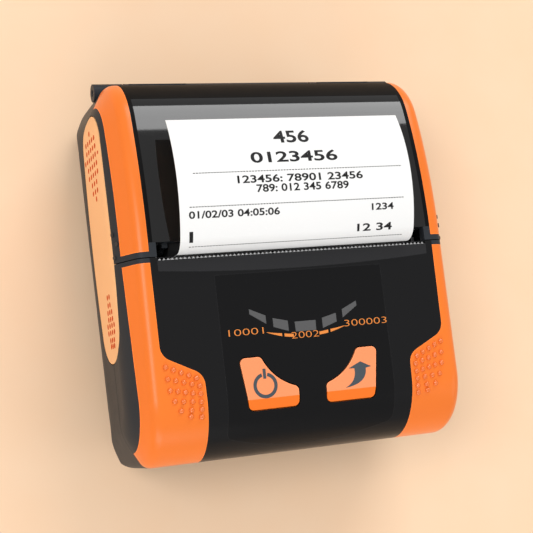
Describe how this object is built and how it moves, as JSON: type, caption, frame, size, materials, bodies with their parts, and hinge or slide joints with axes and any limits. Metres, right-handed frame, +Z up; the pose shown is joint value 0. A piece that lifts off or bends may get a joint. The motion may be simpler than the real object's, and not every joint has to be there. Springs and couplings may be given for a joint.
{
  "type": "portable receipt printer",
  "caption": "Palm-sized clamshell thermal receipt printer with hinged paper cover, dotted thumb grips, two keys, tear bar and a printed strip curling out.",
  "frame": {"origin": "middle of the flat back that the printer lies on, under its overall width and length", "axes": "+X to the right of someone reading the panel, +Y from the panel end to the cover hinge, +Z up out of the face"},
  "size_m": [0.1156, 0.1274, 0.0664],
  "materials": {
    "charcoal_shell": "fine-grained moulded plastic",
    "panel_black": "gloss",
    "overlay_black": "satin film",
    "crescent_grey": "satin",
    "orange_trim": "satin gloss",
    "pale_orange": "satin",
    "key_orange": "satin silicone",
    "window_grey": "diffusing light guide",
    "lid_black": "high gloss",
    "dark_plastic": "fine grain",
    "steel": "rolled sheet",
    "bright_steel": "ground",
    "aluminium": "extruded",
    "ceramic": "fired, glazed on the print line",
    "platen_rubber": "ground",
    "white_plastic": "moulded gear plastic",
    "paper": "thermal paper",
    "core": "wound card tube",
    "board": "solder mask",
    "chip": "moulded package",
    "brass": "plated",
    "socket_black": "moulded",
    "port_rubber": "satin",
    "cell_wrap": "shrink sleeve"
  },
  "bodies": {
    "case": {"bottom_case": "charcoal_shell", "front_housing": "charcoal_shell", "control_panel": "panel_black", "panel_overlay": "overlay_black", "slot_bezel": "crescent_grey", "tear_bar": "bright_steel", "lower_strip_left": "orange_trim", "lower_strip_right": "orange_trim", "side_inset_left": "pale_orange", "side_inset_right": "pale_orange", "status_windows": "window_grey", "mechanism_frame": "steel", "print_head": "ceramic", "head_carrier": "aluminium", "head_springs": "bright_steel", "stepper_motor": "steel", "paper_sensor": "dark_plastic", "main_board": "board", "board_chips": "chip", "board_screws": "bright_steel", "key_switches": "dark_plastic", "port_socket": "socket_black", "port_board": "board", "battery_pack": "dark_plastic", "battery_cells": "cell_wrap", "battery_contacts": "brass", "case_screws": "bright_steel", "bay_screws": "bright_steel", "paper_bay": "dark_plastic", "hinge_pin": "bright_steel", "paper_web": "paper"},
    "cover": {"cover_frame": "charcoal_shell", "cover_lid": "lid_black", "cover_strip_left": "orange_trim", "cover_strip_right": "orange_trim", "cover_grip_studs": "dark_plastic", "receipt_strip": "paper", "platen_bushings": "white_plastic"},
    "platen": {"platen_rubber": "platen_rubber", "platen_shaft": "bright_steel", "platen_gear": "white_plastic"},
    "idler_a": {"idler_gear_a": "white_plastic"},
    "idler_b": {"idler_gear_b": "white_plastic"},
    "pinion": {"motor_pinion": "brass"},
    "roll": {"paper_roll": "paper", "roll_core": "core"},
    "power_button": {"power_key": "key_orange"},
    "feed_button": {"feed_key": "key_orange"},
    "latch": {"battery_latch": "dark_plastic"},
    "port_flap": {"port_cover": "port_rubber"}
  },
  "joints": [
    {"name": "cover_hinge", "type": "hinge", "parent": "case", "child": "cover", "pos_m": [0, 0.06075, 0.0275], "axis": [-1, 0, 0], "range_deg": [0, 100]},
    {"name": "platen_spin", "type": "hinge", "parent": "cover", "child": "platen", "pos_m": [0, 0.0056, 0.0475], "axis": [1, 0, 0], "continuous": true},
    {"name": "idler_a_spin", "type": "hinge", "parent": "case", "child": "idler_a", "pos_m": [0, -0.00366, 0.03824], "axis": [1, 0, 0], "continuous": true},
    {"name": "idler_b_spin", "type": "hinge", "parent": "case", "child": "idler_b", "pos_m": [0, -0.01691, 0.03341], "axis": [1, 0, 0], "continuous": true},
    {"name": "pinion_spin", "type": "hinge", "parent": "case", "child": "pinion", "pos_m": [0, -0.02561, 0.03747], "axis": [1, 0, 0], "continuous": true},
    {"name": "roll_spin", "type": "hinge", "parent": "case", "child": "roll", "pos_m": [0, 0.0325, 0.0278], "axis": [1, 0, 0], "continuous": true},
    {"name": "power_press", "type": "slide", "parent": "case", "child": "power_button", "axis": [0, 0, -1], "range_m": [0, 0.0008], "stiffness_N_per_m": 600, "springref_m": -0.0005},
    {"name": "feed_press", "type": "slide", "parent": "case", "child": "feed_button", "axis": [0, 0, -1], "range_m": [0, 0.0008], "stiffness_N_per_m": 600, "springref_m": -0.0005},
    {"name": "latch_slide", "type": "slide", "parent": "case", "child": "latch", "axis": [0, -1, 0], "range_m": [0, 0.0025], "stiffness_N_per_m": 300, "springref_m": -0.001},
    {"name": "port_hinge", "type": "hinge", "parent": "case", "child": "port_flap", "pos_m": [0.018, -0.06315, 0.0232], "axis": [1, 0, 0], "range_deg": [0, 95]}
  ],
  "couplings": [
    {"joint": "idler_a_spin", "follows": "platen_spin", "ratio": -0.73333},
    {"joint": "idler_b_spin", "follows": "platen_spin", "ratio": 0.84615},
    {"joint": "pinion_spin", "follows": "platen_spin", "ratio": -1.8333}
  ]
}
